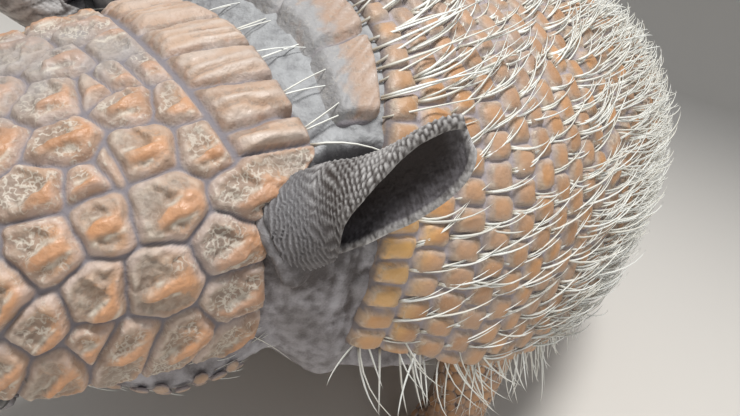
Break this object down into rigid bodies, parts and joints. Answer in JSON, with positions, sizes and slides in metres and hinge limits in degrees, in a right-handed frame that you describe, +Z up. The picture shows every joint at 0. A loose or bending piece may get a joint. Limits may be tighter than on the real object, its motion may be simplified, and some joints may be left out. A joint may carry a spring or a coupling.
{
  "type": "armadillo",
  "caption": "Standing life-size armadillo with a jointed-looking bony carapace, head shield, funnel ears, clawed feet and a long ringed tail; a still display model.",
  "frame": {"origin": "middle of the bounding box in plan, on the floor under the animal", "axes": "+Y from the head towards the tail, +X to the animal's left, +Z up"},
  "size_m": [0.1952, 0.6078, 0.1779],
  "materials": {
    "skin": "grey wrinkled skin with sparse pale hair",
    "ear_skin": "grey granular skin",
    "head_scute": "orange-brown bony scutes with worn, dirty faces",
    "body_scute": "orange-brown bony scutes with grey grooves",
    "claw": "worn yellowish horn",
    "eye": "wet dark brown"
  },
  "bodies": {
    "root": {"head": "skin", "neck": "skin", "trunk": "skin", "head_shield": "head_scute", "nuchal_band": "body_scute", "scapular_shield": "body_scute", "band_1": "body_scute", "band_2": "body_scute", "band_3": "body_scute", "band_4": "body_scute", "band_5": "body_scute", "band_6": "body_scute", "band_7": "body_scute", "pelvic_shield_front": "body_scute", "pelvic_shield_rear": "body_scute", "ear_left": "ear_skin", "eye_left": "eye", "fore_leg_left": "skin", "fore_foot_left": "skin", "fore_claw_left_1": "claw", "fore_claw_left_2": "claw", "fore_claw_left_3": "claw", "fore_claw_left_4": "claw", "fore_claw_left_5": "claw", "hind_leg_left": "skin", "hind_foot_left": "skin", "hind_claw_left_1": "claw", "hind_claw_left_2": "claw", "hind_claw_left_3": "claw", "hind_claw_left_4": "claw", "hind_claw_left_5": "claw", "ear_right": "ear_skin", "eye_right": "eye", "fore_leg_right": "skin", "fore_foot_right": "skin", "fore_claw_right_1": "claw", "fore_claw_right_2": "claw", "fore_claw_right_3": "claw", "fore_claw_right_4": "claw", "fore_claw_right_5": "claw", "hind_leg_right": "skin", "hind_foot_right": "skin", "hind_claw_right_1": "claw", "hind_claw_right_2": "claw", "hind_claw_right_3": "claw", "hind_claw_right_4": "claw", "hind_claw_right_5": "claw", "tail_base": "skin", "tail_middle": "skin", "tail_tip": "skin"}
  },
  "joints": []
}
